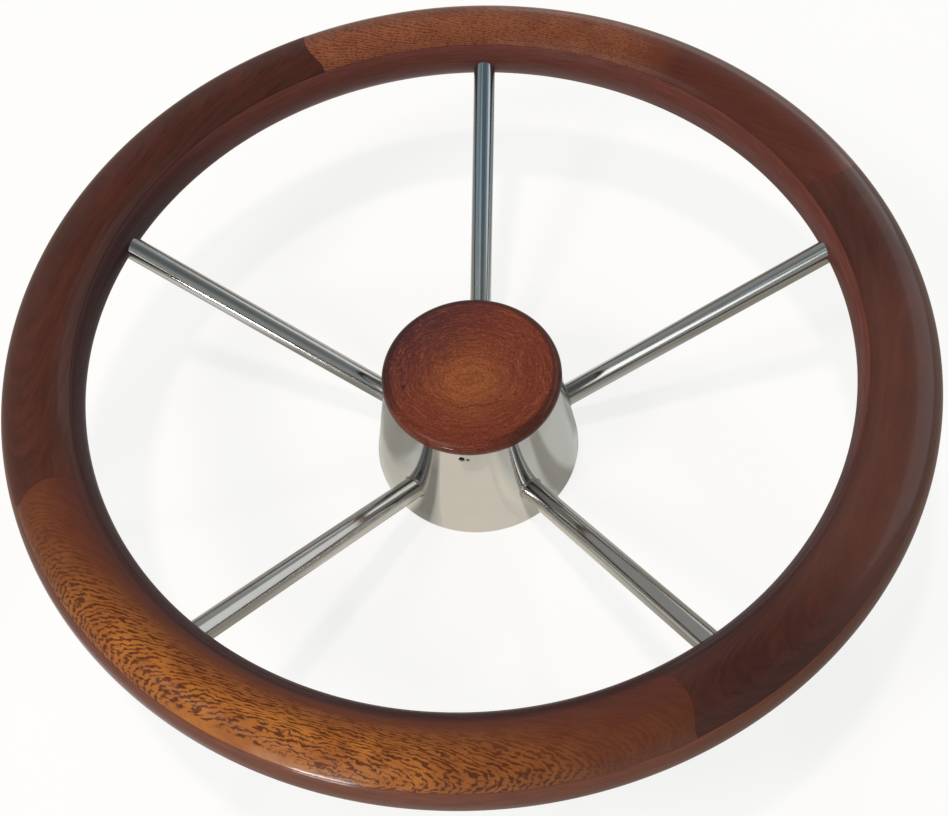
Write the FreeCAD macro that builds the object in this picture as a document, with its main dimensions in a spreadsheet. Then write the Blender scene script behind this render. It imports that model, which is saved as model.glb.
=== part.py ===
"""Boat steering wheel with five dished spokes, a glued hardwood rim and a wooden hub cap.

Frame: the origin is the centre of the hub's back face, +Z runs along the shaft
towards the person steering, and one spoke lies over +Y. Millimetres.
"""
import math
import os

import FreeCAD
import Part
import Sketcher

from FreeCAD import Vector

doc = FreeCAD.newDocument("boat_steering_wheel")
sheet = doc.addObject("Spreadsheet::Sheet", "Sizes")
parts = []

# Driving dimensions, in millimetres, degrees or counts
SIZES = [
    ("rim_diameter", 394.0, "outside of the rim, a 15-1/2 inch wheel"),
    ("rim_width", 33.6, "rim section, across"),
    ("rim_thickness", 30.6, "rim section, front to back"),
    ("rim_side_share", 0.975, "radius of the section's sides, as a share of half its thickness"),
    ("rim_lift", 90.8, "middle plane of the rim above the hub's back face"),
    ("front_layer", 6.4, "depth of the figured front layer at its crown"),
    ("front_pairs", 2, "pairs of segments in the front layer, one tongued and one hollowed"),
    ("front_joint_angle", 27.2, "first joint of the front layer"),
    ("tongue_radius", 20.0, "round end of a front segment"),
    ("tongue_reach", 3.4, "how far that round end passes its joint plane"),
    ("tool_margin", 6.0, "overrun of every cutting tool"),
    ("spoke_count", 5, "spokes, evenly spaced"),
    ("spoke_diameter", 10.4, "polished round bar"),
    ("spoke_hub_height", 22.2, "centre line of a spoke where it meets the hub"),
    ("spoke_rim_drop", 5.3, "the same where it meets the rim, below the middle plane"),
    ("spoke_hub_reach", 6.0, "length of a spoke inside the hub's wall"),
    ("socket_depth", 16.0, "length of a spoke inside the rim"),
    ("socket_clearance", 0.1, "glue gap round a spoke in the rim"),
    ("weld_clearance", 0.05, "gap round a spoke in the hub's wall"),
    ("weld_leg", 2.2, "dressed weld bead round a spoke"),
    ("hub_base_diameter", 97.4, "back edge of the hub cone"),
    ("hub_top_diameter", 78.5, "front edge of the hub cone"),
    ("hub_height", 59.6, "length of the hub cone"),
    ("hub_wall", 2.6, "wall of the hub cone, across"),
    ("back_plate_thickness", 5.0, "disc that closes the hub's back"),
    ("plate_clearance", 0.1, "gap round the back plate before welding"),
    ("boss_diameter", 38.0, "boss that takes the steering shaft"),
    ("boss_length", 30.0, "boss, front to back"),
    ("boss_chamfer", 1.5, "front edge of the boss"),
    ("shaft_diameter", 19.05, "large end of the tapered bore, 3/4 inch"),
    ("shaft_taper", 12.0, "the bore narrows by one part in this many"),
    ("shoulder_diameter", 22.2, "straight recess at the back of the bore"),
    ("shoulder_depth", 5.0, "depth of that recess"),
    ("key_width", 4.76, "keyway, 3/16 inch"),
    ("key_depth", 2.4, "keyway, measured from the bore's large end"),
    ("cap_diameter", 80.8, "wooden cap"),
    ("cap_edge", 5.2, "height of the cap's side"),
    ("cap_round", 4.0, "rounding of the cap's front edge"),
    ("cap_chamfer", 0.4, "break on the cap's back edge"),
    ("spigot_length", 8.0, "plug under the cap, inside the hub"),
    ("spigot_clearance", 0.2, "gap round that plug"),
    ("set_screw_diameter", 2.5, "grub screw that holds the cap"),
    ("set_screw_length", 5.0, "grub screw"),
    ("set_screw_drop", 4.3, "its centre below the front edge of the cone"),
    ("set_screw_sink", 0.7, "its outer end below the cone's surface"),
    ("set_screw_angle", 266.0, "its place round the hub"),
    ("set_screw_hex", 1.3, "hexagon socket, across flats"),
    ("set_screw_hex_depth", 1.4, "hexagon socket"),
    ("lock_screw_diameter", 3.2, "screw that locks a spoke in the rim"),
    ("lock_screw_head", 6.4, "its countersunk head"),
    ("lock_screw_head_height", 1.9, "its countersunk head"),
    ("lock_screw_length", 12.0, "head to tip"),
    ("lock_screw_slot", 0.9, "driver slot, width and depth"),
    ("lock_screw_inset", 10.5, "its place along the spoke, from the rim's inner face"),
    ("lock_screw_sink", 0.8, "its head below the back of the rim"),
    ("screw_clearance", 0.05, "gap round every screw"),
]
for row, (alias, value, note) in enumerate(SIZES, start=1):
    sheet.set(f"A{row}", alias)
    sheet.set(f"B{row}", str(value))
    sheet.set(f"C{row}", note)
    sheet.setAlias(f"B{row}", alias)
doc.recompute()

# Lengths that several pieces share, written in terms of the sheet
RIM_RADIUS = "(Sizes.rim_diameter / 2)"
RIM_MIDDLE = "(Sizes.rim_diameter / 2 - Sizes.rim_width / 2)"
RIM_INSIDE = "(Sizes.rim_diameter / 2 - Sizes.rim_width)"
RIM_BACK = "(Sizes.rim_lift - Sizes.rim_thickness / 2)"
GLUE_PLANE = "(Sizes.rim_lift + Sizes.rim_thickness / 2 - Sizes.front_layer)"
SPOKE_STEP = "(360 / Sizes.spoke_count)"
FRONT_STEP = "(180 / Sizes.front_pairs)"
HUB_SLOPE = "((Sizes.hub_base_diameter - Sizes.hub_top_diameter) / 2 / Sizes.hub_height)"
HUB_LEAN = f"(atan({HUB_SLOPE}) / 1 deg)"
WALL_ACROSS = f"(Sizes.hub_wall / cos({HUB_LEAN}))"
SPOKE_HUB_RADIUS = f"(Sizes.hub_base_diameter / 2 - {HUB_SLOPE} * Sizes.spoke_hub_height)"
SPOKE_RUN = f"({RIM_INSIDE} - {SPOKE_HUB_RADIUS})"
SPOKE_RISE = "(Sizes.rim_lift - Sizes.spoke_rim_drop - Sizes.spoke_hub_height)"
SPOKE_TILT = f"(atan({SPOKE_RISE} / {SPOKE_RUN}) / 1 deg)"
SPOKE_SPAN = f"sqrt({SPOKE_RUN}^2 + {SPOKE_RISE}^2)"
LOCK_RADIUS = f"({RIM_INSIDE} + Sizes.lock_screw_inset * cos({SPOKE_TILT}))"
LOCK_ACROSS = f"(2 * ({LOCK_RADIUS} - {RIM_MIDDLE}) / Sizes.rim_width)"
LOCK_HEAD_Z = (f"(Sizes.rim_lift - Sizes.rim_thickness / 2 * sqrt(1 - {LOCK_ACROSS}^2)"
               " + Sizes.lock_screw_sink)")
SET_SCREW_Z = "(Sizes.hub_height - Sizes.set_screw_drop)"
SET_SCREW_OUT = f"(Sizes.hub_base_diameter / 2 - {HUB_SLOPE} * {SET_SCREW_Z} - Sizes.set_screw_sink)"
SPIGOT_RADIUS = f"(Sizes.hub_top_diameter / 2 - {WALL_ACROSS} - Sizes.spigot_clearance)"


def number(expression):
    """The present value of an expression written in terms of the sheet."""
    value = sheet.evalExpression(expression)
    return float(getattr(value, "Value", value))


SPOKES = range(int(number("Sizes.spoke_count")))


def feature(kind, name, **expressions):
    """Adds a Part feature and binds its properties."""
    item = doc.addObject(kind, name)
    for key, expression in expressions.items():
        item.setExpression(key, expression)
    return item


def place(item, base=("0", "0", "0"), turn=("0", "0", "0")):
    """Binds a placement: a position, then a turn about Z, about Y and about X."""
    item.setExpression("Placement", f"placement(vector({base[0]}; {base[1]}; {base[2]}); "
                                    f"rotation({turn[0]}; {turn[1]}; {turn[2]}))")
    return item


def combine(kind, name, first, second):
    """A cut or a common of two features."""
    item = doc.addObject(kind, name)
    item.Base = first
    item.Tool = second
    return item


def fuse(name, members):
    """One solid from several overlapping features."""
    item = doc.addObject("Part::MultiFuse", name)
    item.Shapes = members
    return item


def cut(name, first, *tools):
    """A feature with several tools taken out of it."""
    tool = tools[0] if len(tools) == 1 else fuse(f"{name}_tools", list(tools))
    return combine("Part::Cut", name, first, tool)


def deliver(item, label):
    """Names a finished sub-part; the name is that of its file."""
    item.Label = label
    parts.append(item)
    return item


def turned(name, points):
    """A body turned about Z from a half section, a ring of expression pairs: radius and height."""
    body = doc.addObject("PartDesign::Body", name)
    plane = next(item for item in body.Origin.OriginFeatures if item.Role == "XZ_Plane")
    sketch = body.newObject("Sketcher::SketchObject", f"{name}_section")
    sketch.AttachmentSupport = [(plane, "")]
    sketch.MapMode = "FlatFace"
    corners = [Vector(number(radius), number(height), 0) for radius, height in points]
    for index, start in enumerate(corners):
        sketch.addGeometry(Part.LineSegment(start, corners[(index + 1) % len(corners)]))
    for index in range(len(corners)):
        sketch.addConstraint(
            Sketcher.Constraint("Coincident", index, 2, (index + 1) % len(corners), 1))
    for index, (radius, height) in enumerate(points):
        for kind, text in (("DistanceX", radius), ("DistanceY", height)):
            if text == "0":
                axis = -2 if kind == "DistanceX" else -1
                sketch.addConstraint(Sketcher.Constraint("PointOnObject", index, 1, axis))
            else:
                placed = sketch.addConstraint(
                    Sketcher.Constraint(kind, -1, 1, index, 1, number(text)))
                sketch.setExpression(f"Constraints[{placed}]", text)
    turning = body.newObject("PartDesign::Revolution", f"{name}_turning")
    turning.Profile = sketch
    turning.ReferenceAxis = (sketch, ["V_Axis"])
    turning.Angle = 360
    body.Tip = turning
    doc.recompute()
    return body


def round_edge(body, name, radius, height, amount):
    """Rounds the circular edge of a turned body at that radius and height."""
    solid = body.Tip
    wanted = []
    for index, edge in enumerate(solid.Shape.Edges, start=1):
        same_length = abs(edge.Length - 2 * math.pi * number(radius)) < 0.01
        if same_length and abs(edge.Vertexes[0].Z - number(height)) < 0.01:
            wanted.append(f"Edge{index}")
    rounding = body.newObject("PartDesign::Fillet", name)
    rounding.Base = (solid, wanted)
    rounding.setExpression("Radius", amount)
    body.Tip = rounding
    doc.recompute()


def spoke_axis_point(along, angle):
    """Expressions for a point on a spoke's centre line, measured from the hub's surface."""
    radius = f"({SPOKE_HUB_RADIUS} + ({along}) * cos({SPOKE_TILT}))"
    height = f"(Sizes.spoke_hub_height + ({along}) * sin({SPOKE_TILT}))"
    return f"{radius} * cos({angle})", f"{radius} * sin({angle})", height


def spoke_rod(name, radius, start, length, angle):
    """A rod on a spoke's centre line."""
    rod = feature("Part::Cylinder", name, Radius=radius, Height=length)
    return place(rod, spoke_axis_point(start, angle), (angle, f"90 - {SPOKE_TILT}", "0"))


def spoke_angle(index):
    """Spoke number one lies over +Y and the rest follow anticlockwise."""
    return f"(90 + {index} * {SPOKE_STEP})"


def lock_screw_place(index):
    """Expressions for the centre of a locking screw's head, under the back of the rim."""
    angle = spoke_angle(index)
    return f"{LOCK_RADIUS} * cos({angle})", f"{LOCK_RADIUS} * sin({angle})", LOCK_HEAD_Z


def lock_screw_shape(name, index, growth="0"):
    """The locking screw of one spoke, or its hole where a growth is given."""
    head = feature("Part::Cone", f"{name}_head",
                   Radius1=f"Sizes.lock_screw_head / 2 + {growth}",
                   Radius2=f"Sizes.lock_screw_diameter / 2 + {growth}",
                   Height="Sizes.lock_screw_head_height")
    shank = feature("Part::Cylinder", f"{name}_shank",
                    Radius=f"Sizes.lock_screw_diameter / 2 + {growth}",
                    Height=f"Sizes.lock_screw_length + {growth}")
    members = [place(head, lock_screw_place(index)), place(shank, lock_screw_place(index))]
    if growth != "0":
        east, north, height = lock_screw_place(index)
        mouth = feature("Part::Cylinder", f"{name}_mouth",
                        Radius=f"Sizes.lock_screw_head / 2 + {growth}", Height="Sizes.tool_margin")
        members.append(place(mouth, (east, north, f"{height} - Sizes.tool_margin")))
    return fuse(name, members)


# The whole rim, turned from one oval section and then divided into its layers and segments.
# The oval is four tangent arcs: outer side, front crown, inner side, back crown.
SIDE_RADIUS = "(Sizes.rim_side_share * Sizes.rim_thickness / 2)"
SIDE_OFFSET = f"(Sizes.rim_width / 2 - {SIDE_RADIUS})"
CROWN_RADIUS = (f"(({SIDE_OFFSET}^2 + (Sizes.rim_thickness / 2)^2 - {SIDE_RADIUS}^2)"
                f" / (Sizes.rim_thickness - 2 * {SIDE_RADIUS}))")
CROWN_OFFSET = f"({CROWN_RADIUS} - Sizes.rim_thickness / 2)"
rim_section = doc.addObject("Sketcher::SketchObject", "rim_section")
rim_section.Placement = FreeCAD.Placement(Vector(), FreeCAD.Rotation(Vector(1, 0, 0), 90))
flank = math.degrees(math.atan2(number(CROWN_OFFSET), number(SIDE_OFFSET)))
oval = [
    (f"{RIM_MIDDLE} + {SIDE_OFFSET}", "Sizes.rim_lift", SIDE_RADIUS, -flank, flank),
    (RIM_MIDDLE, f"Sizes.rim_lift - {CROWN_OFFSET}", CROWN_RADIUS, flank, 180 - flank),
    (f"{RIM_MIDDLE} - {SIDE_OFFSET}", "Sizes.rim_lift", SIDE_RADIUS, 180 - flank, 180 + flank),
    (RIM_MIDDLE, f"Sizes.rim_lift + {CROWN_OFFSET}", CROWN_RADIUS, 180 + flank, 360 - flank),
]
for centre_x, centre_y, radius, begin, end in oval:
    circle = Part.Circle(Vector(number(centre_x), number(centre_y), 0), Vector(0, 0, 1),
                         number(radius))
    rim_section.addGeometry(Part.ArcOfCircle(circle, math.radians(begin), math.radians(end)))
for index in range(4):
    rim_section.addConstraint(Sketcher.Constraint("Tangent", index, 2, (index + 1) % 4, 1))
for index in (0, 2):
    centre_x, centre_y, radius = oval[index][:3]
    for kind, text in (("DistanceX", centre_x), ("DistanceY", centre_y)):
        placed = rim_section.addConstraint(
            Sketcher.Constraint(kind, -1, 1, index, 3, number(text)))
        rim_section.setExpression(f"Constraints[{placed}]", text)
for index in range(4):
    sized = rim_section.addConstraint(
        Sketcher.Constraint("Radius", index, number(oval[index][2])))
    rim_section.setExpression(f"Constraints[{sized}]", oval[index][2])
rim_blank = doc.addObject("Part::Revolution", "rim_blank")
rim_blank.Source = rim_section
rim_blank.Axis = Vector(0, 0, 1)
rim_blank.Angle = 360
rim_blank.Solid = True

# Front layer: figured segments, every other one with round tongues and the rest hollowed for them
for order in range(2 * int(number("Sizes.front_pairs"))):
    node = f"rim_front_{order + 1}"
    start_angle = f"(Sizes.front_joint_angle + {order} * {FRONT_STEP})"
    sector = feature("Part::Cylinder", f"{node}_sector",
                     Radius=f"{RIM_RADIUS} + Sizes.tool_margin",
                     Height="Sizes.front_layer + Sizes.tool_margin", Angle=FRONT_STEP)
    place(sector, ("0", "0", GLUE_PLANE), (start_angle, "0", "0"))
    tongued = order % 2 == 0
    round_ends = []
    for end in (0, 1):
        joint_angle = f"({start_angle} + {end} * {FRONT_STEP})"
        towards = "1" if tongued == (end == 0) else "-1"
        inset = f"({towards} * (Sizes.tongue_radius - Sizes.tongue_reach))"
        round_end = feature("Part::Cylinder", f"{node}_end_{end + 1}",
                            Radius="Sizes.tongue_radius",
                            Height="Sizes.front_layer + Sizes.tool_margin")
        place(round_end, (f"{RIM_MIDDLE} * cos({joint_angle}) - {inset} * sin({joint_angle})",
                          f"{RIM_MIDDLE} * sin({joint_angle}) + {inset} * cos({joint_angle})",
                          GLUE_PLANE))
        round_ends.append(round_end)
    if tongued:
        outline = fuse(f"{node}_outline", [sector] + round_ends)
    else:
        outline = cut(f"{node}_outline", sector, *round_ends)
    deliver(combine("Part::Common", f"{node}_shape", rim_blank, outline), node)

# Body of the rim: the plain ring behind, bored for every spoke and its locking screw
below_glue = feature("Part::Cylinder", "rim_body_range", Radius=f"{RIM_RADIUS} + Sizes.tool_margin",
                     Height=f"{GLUE_PLANE} - {RIM_BACK} + Sizes.tool_margin")
place(below_glue, ("0", "0", f"{RIM_BACK} - Sizes.tool_margin"))
rim_ring = combine("Part::Common", "rim_ring", rim_blank, below_glue)
rim_tools = []
for index in SPOKES:
    rim_tools.append(spoke_rod(f"rim_socket_{index + 1}",
                               "Sizes.spoke_diameter / 2 + Sizes.socket_clearance",
                               f"{SPOKE_SPAN} - Sizes.tool_margin",
                               "Sizes.socket_depth + Sizes.tool_margin + Sizes.socket_clearance",
                               spoke_angle(index)))
    rim_tools.append(lock_screw_shape(f"rim_screw_hole_{index + 1}", index, "Sizes.screw_clearance"))
deliver(cut("rim_body_shape", rim_ring, *rim_tools), "rim_body")

# Spokes: straight polished bar, drilled underneath for the locking screw
for index in SPOKES:
    node = f"spoke_{index + 1}"
    rod = spoke_rod(f"{node}_bar", "Sizes.spoke_diameter / 2", "-Sizes.spoke_hub_reach",
                    f"{SPOKE_SPAN} + Sizes.spoke_hub_reach + Sizes.socket_depth", spoke_angle(index))
    screw_hole = lock_screw_shape(f"{node}_screw_hole", index, "Sizes.screw_clearance")
    deliver(cut(f"{node}_shape", rod, screw_hole), node)

# Locking screws: countersunk and slotted, driven from the back of the rim into the spoke
slot_reach = "((Sizes.lock_screw_head + Sizes.tool_margin) / 2)"
slot_half = "(Sizes.lock_screw_slot / 2)"
for index in SPOKES:
    node = f"spoke_lock_screw_{index + 1}"
    angle = spoke_angle(index)
    east, north, height = lock_screw_place(index)
    slot = feature("Part::Box", f"{node}_slot", Length=f"2 * {slot_reach}",
                   Width="Sizes.lock_screw_slot",
                   Height="Sizes.lock_screw_slot + Sizes.tool_margin")
    place(slot, (f"{east} - {slot_reach} * cos({angle}) + {slot_half} * sin({angle})",
                 f"{north} - {slot_reach} * sin({angle}) - {slot_half} * cos({angle})",
                 f"{height} - Sizes.tool_margin"), (angle, "0", "0"))
    deliver(cut(f"{node}_shape", lock_screw_shape(f"{node}_blank", index), slot), node)

# Hub cone: spun shell with a dressed weld bead round each spoke, all trimmed by one inner cone
outer_cone = feature("Part::Cone", "hub_outside", Radius1="Sizes.hub_base_diameter / 2",
                     Radius2="Sizes.hub_top_diameter / 2", Height="Sizes.hub_height")
beads = []
for index in SPOKES:
    angle = spoke_angle(index)
    sunk = "(Sizes.hub_wall / 2)"
    bead = feature("Part::Cone", f"hub_bead_{index + 1}",
                   Radius1=f"Sizes.spoke_diameter / 2 + Sizes.weld_leg + {sunk}",
                   Radius2="Sizes.spoke_diameter / 2", Height=f"Sizes.weld_leg + {sunk}")
    bead_radius = f"({SPOKE_HUB_RADIUS} - {sunk} * cos({HUB_LEAN}))"
    place(bead, (f"{bead_radius} * cos({angle})", f"{bead_radius} * sin({angle})",
                 f"Sizes.spoke_hub_height - {sunk} * sin({HUB_LEAN})"),
          (angle, f"90 - {HUB_LEAN}", "0"))
    beads.append(bead)
hub_solid = fuse("hub_solid", [outer_cone] + beads)
overrun = "Sizes.tool_margin"
inner_cone = feature("Part::Cone", "hub_inside",
                     Radius1=f"Sizes.hub_base_diameter / 2 - {WALL_ACROSS} + {HUB_SLOPE} * {overrun}",
                     Radius2=f"Sizes.hub_top_diameter / 2 - {WALL_ACROSS} - {HUB_SLOPE} * {overrun}",
                     Height=f"Sizes.hub_height + 2 * {overrun}")
place(inner_cone, ("0", "0", f"-{overrun}"))
hub_tools = [inner_cone]
for index in SPOKES:
    hub_tools.append(spoke_rod(f"hub_spoke_hole_{index + 1}",
                               "Sizes.spoke_diameter / 2 + Sizes.weld_clearance",
                               "-Sizes.spoke_hub_reach - Sizes.weld_clearance",
                               f"Sizes.spoke_hub_reach + {SPOKE_RUN} / 2", spoke_angle(index)))


def set_screw_rod(name, radius, outside, length):
    """A rod on the cap screw's axis, from outside the hub towards its centre."""
    rod = feature("Part::Cylinder", name, Radius=radius, Height=length)
    start = f"({SET_SCREW_OUT} + {outside})"
    return place(rod, (f"{start} * cos(Sizes.set_screw_angle)", f"{start} * sin(Sizes.set_screw_angle)",
                       SET_SCREW_Z), ("Sizes.set_screw_angle", "-90", "0"))


hub_tools.append(set_screw_rod("hub_screw_hole", "Sizes.set_screw_diameter / 2 + Sizes.screw_clearance",
                               "Sizes.tool_margin", "Sizes.tool_margin + Sizes.set_screw_length"))
deliver(cut("hub_cone_shape", hub_solid, *hub_tools), "hub_cone")

# Back plate: a disc inside the foot of the cone, with the boss through its middle
plate_edge = f"(Sizes.hub_base_diameter / 2 - {WALL_ACROSS} - Sizes.plate_clearance)"
back_plate = turned("back_plate_body", [
    ("Sizes.boss_diameter / 2 + Sizes.plate_clearance", "0"),
    (plate_edge, "0"),
    (f"{plate_edge} - {HUB_SLOPE} * Sizes.back_plate_thickness", "Sizes.back_plate_thickness"),
    ("Sizes.boss_diameter / 2 + Sizes.plate_clearance", "Sizes.back_plate_thickness"),
])
deliver(back_plate, "hub_back_plate")

# Shaft boss: straight recess, tapered bore and keyway, chamfered where the shaft nut bears
bore_narrow = "(Sizes.shaft_diameter - (Sizes.boss_length - Sizes.shoulder_depth) / Sizes.shaft_taper)"
boss_blank = turned("boss_body", [
    ("Sizes.shoulder_diameter / 2", "0"),
    ("Sizes.boss_diameter / 2", "0"),
    ("Sizes.boss_diameter / 2", "Sizes.boss_length - Sizes.boss_chamfer"),
    ("Sizes.boss_diameter / 2 - Sizes.boss_chamfer", "Sizes.boss_length"),
    (f"{bore_narrow} / 2", "Sizes.boss_length"),
    ("Sizes.shaft_diameter / 2", "Sizes.shoulder_depth"),
    ("Sizes.shoulder_diameter / 2", "Sizes.shoulder_depth"),
])
keyway = feature("Part::Box", "keyway", Length="Sizes.key_width",
                 Width="Sizes.shaft_diameter / 2 + Sizes.key_depth",
                 Height="Sizes.boss_length + Sizes.tool_margin")
place(keyway, ("-Sizes.key_width / 2", "0", "Sizes.shoulder_depth"))
deliver(cut("boss_shape", boss_blank, keyway), "shaft_boss")

# Wooden cap: turned disc with a rounded edge, its plug inside the cone, dimpled for the screw
cap_front = "Sizes.hub_height + Sizes.cap_edge"
cap_blank = turned("cap_body", [
    ("0", "Sizes.hub_height - Sizes.spigot_length"),
    (SPIGOT_RADIUS, "Sizes.hub_height - Sizes.spigot_length"),
    (SPIGOT_RADIUS, "Sizes.hub_height"),
    ("Sizes.cap_diameter / 2 - Sizes.cap_chamfer", "Sizes.hub_height"),
    ("Sizes.cap_diameter / 2", "Sizes.hub_height + Sizes.cap_chamfer"),
    ("Sizes.cap_diameter / 2", cap_front),
    ("0", cap_front),
])
round_edge(cap_blank, "cap_front_round", "Sizes.cap_diameter / 2", cap_front, "Sizes.cap_round")
dimple = set_screw_rod("cap_dimple", "Sizes.set_screw_diameter / 2 + Sizes.screw_clearance",
                       "Sizes.tool_margin",
                       "Sizes.tool_margin + Sizes.set_screw_length + Sizes.screw_clearance")
deliver(cut("cap_shape", cap_blank, dimple), "centre_cap")

# Cap screw: a grub screw in the cone, its point in the cap's plug
screw_bar = set_screw_rod("set_screw_bar", "Sizes.set_screw_diameter / 2", "0",
                          "Sizes.set_screw_length")
hexagon = feature("Part::Prism", "set_screw_socket",
                  Circumradius="Sizes.set_screw_hex / sqrt(3)",
                  Height="Sizes.tool_margin + Sizes.set_screw_hex_depth")
hexagon.Polygon = 6
mouth = f"({SET_SCREW_OUT} + Sizes.tool_margin)"
place(hexagon, (f"{mouth} * cos(Sizes.set_screw_angle)", f"{mouth} * sin(Sizes.set_screw_angle)",
                SET_SCREW_Z), ("Sizes.set_screw_angle", "-90", "0"))
deliver(cut("set_screw_shape", screw_bar, hexagon), "cap_set_screw")

# Every feature is sound before anything is written
doc.recompute()
for item in doc.Objects:
    if "Invalid" in item.State or "Error" in item.State:
        raise RuntimeError(f"{item.Name} failed: {item.State}")
for item in parts:
    if item.Shape.isNull() or not item.Shape.isValid() or len(item.Shape.Solids) != 1:
        raise RuntimeError(f"{item.Label} is not one sound solid")

os.makedirs("parts", exist_ok=True)
for item in parts:
    item.Shape.exportStep(f"parts/{item.Label}.step")
    print(f"{item.Label:22s} {item.Shape.Volume:12.1f} mm3")
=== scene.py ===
# Boat steering wheel: a varnished hardwood rim on five steel bars, a spun steel hub and a wooden cap.
# The sections follow the wheel as it is put together, from the hub outwards, and then come the floor,
# the light and the camera. Shapes are worked out in millimetres and made in metres.
import math

import bmesh
import bpy
from mathutils import Matrix, Vector


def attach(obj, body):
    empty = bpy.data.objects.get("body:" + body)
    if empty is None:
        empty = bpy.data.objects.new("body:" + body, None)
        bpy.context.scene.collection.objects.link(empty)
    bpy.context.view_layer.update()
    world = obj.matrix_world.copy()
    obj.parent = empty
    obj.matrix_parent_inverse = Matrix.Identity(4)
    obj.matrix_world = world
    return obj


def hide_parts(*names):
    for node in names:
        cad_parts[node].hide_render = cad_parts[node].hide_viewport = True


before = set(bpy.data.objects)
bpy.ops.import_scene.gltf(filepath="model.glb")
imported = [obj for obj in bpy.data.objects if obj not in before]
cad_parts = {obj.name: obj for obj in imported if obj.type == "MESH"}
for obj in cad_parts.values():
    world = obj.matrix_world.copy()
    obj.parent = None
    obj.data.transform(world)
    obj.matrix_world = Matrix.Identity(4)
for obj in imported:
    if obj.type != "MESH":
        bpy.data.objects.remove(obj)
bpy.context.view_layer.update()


# Shaft boss and back plate
# The boss is turned from stainless bar and bored for the tapered shaft, and the plate is a disc turned
# to sit in the foot of the cone. Both keep the fine rings that the lathe tool leaves.
MM = 0.001


def tone(red, green, blue):
    """The shader's colour for one that looks like red, green and blue from 0 to 255."""
    shares = (red / 255, green / 255, blue / 255)
    return tuple(s / 12.92 if s <= 0.04045 else ((s + 0.055) / 1.055) ** 2.4 for s in shares) + (1.0,)


class Finish:
    """A surface finish: one material, and short calls that add a node and give its outlet."""

    def __init__(self, name, **shader_values):
        self.material = bpy.data.materials.new(name)
        self.material.use_nodes = True
        self.tree = self.material.node_tree
        self.shader = self.tree.nodes["Principled BSDF"]
        for socket, value in shader_values.items():
            self.shader.inputs[socket.replace("_", " ")].default_value = value

    def feed(self, inlet, value):
        """Joins an outlet to an inlet, or sets the inlet to a plain value."""
        if isinstance(value, bpy.types.NodeSocket):
            self.tree.links.new(value, inlet)
        elif value is not None:
            inlet.default_value = value

    def add(self, kind, *values, outlet=0, named=None, **settings):
        """A node of this kind, fed in the order of its inlets and by name."""
        node = self.tree.nodes.new("ShaderNode" + kind)
        for setting, value in settings.items():
            setattr(node, setting, value)
        for inlet, value in zip(node.inputs, values):
            self.feed(inlet, value)
        for inlet, value in (named or {}).items():
            self.feed(node.inputs[inlet], value)
        return node.outputs[outlet]

    def sum(self, operation, *values):
        """One step of arithmetic on outlets or plain values."""
        return self.add("Math", *values, operation=operation)

    def place(self):
        """Where the surface point is, in millimetres from the middle of the hub's back."""
        metres = self.add("TexCoord", outlet=3)
        return self.add("VectorMath", metres, (1 / MM, 1 / MM, 1 / MM), operation="MULTIPLY")

    def part(self, place, axis):
        """One of a point's three distances, x, y or z."""
        return self.add("SeparateXYZ", place, outlet="xyz".index(axis))

    def reach(self, place, line):
        """How far a point lies along a line through the middle of the hub's back."""
        return self.add("VectorMath", place, tuple(line), operation="DOT_PRODUCT", outlet=1)

    def distance(self, place, spot):
        """How far a point is from a spot."""
        return self.add("VectorMath", place, tuple(spot), operation="DISTANCE", outlet=1)

    def length(self, place):
        """How far a point is from where its distances are counted."""
        return self.add("VectorMath", place, operation="LENGTH", outlet=1)

    def radius(self, place):
        """How far a point is from the wheel's axis."""
        return self.length(self.add("VectorMath", place, (1, 1, 0), operation="MULTIPLY"))

    def cloud(self, place, size, detail=2.0, rough=0.5, twist=0.0):
        """Soft noise from 0 to 1 whose lumps are about one size across."""
        named = {"Scale": 1 / size, "Detail": detail, "Roughness": rough, "Distortion": twist}
        return self.add("TexNoise", place, named=named)

    def rings(self, distance, count, detail):
        """Soft noise from 0 to 1 along one distance, with about this many lumps to the millimetre."""
        named = {"W": distance, "Scale": count, "Detail": detail}
        return self.add("TexNoise", named=named, noise_dimensions="1D")

    def stretch(self, value, low, high, out_low=0.0, out_high=1.0):
        """A value that goes from out_low to out_high as this one goes from low to high."""
        return self.add("MapRange", value, low, high, out_low, out_high)

    def course(self, value, *stops):
        """Reads a value off stops of (value in, value out), with straight runs between them."""
        low, high = stops[0][0], stops[-1][0]
        node = self.tree.nodes.new("ShaderNodeValToRGB")
        self.feed(node.inputs[0], self.stretch(value, low, high))
        elements = node.color_ramp.elements
        for stop in stops[1:-1]:
            elements.new((stop[0] - low) / (high - low))
        for element, (_, out) in zip(elements, stops):
            element.color = (out, out, out, 1.0)
        return node.outputs[0]

    def mix(self, share, first, second):
        """A colour between two, the second by this share. The five inlets between stay as they are."""
        between = [None] * 5
        return self.add("Mix", share, *between, first, second, outlet=2, data_type="RGBA")

    def relief(self, height, depth):
        """A small relief, depth millimetres from its lowest to its highest."""
        return self.add("Bump", named={"Height": height, "Distance": depth * MM})

    def finish_with(self, **outlets):
        """Joins outlets to the shader's own inlets by name."""
        for socket, value in outlets.items():
            self.feed(self.shader.inputs[socket.replace("_", " ")], value)


def wear(node_name, finish):
    """Puts a finish on a part of the frame."""
    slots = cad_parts[node_name].data.materials
    slots.clear()
    slots.append(finish.material)


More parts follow.
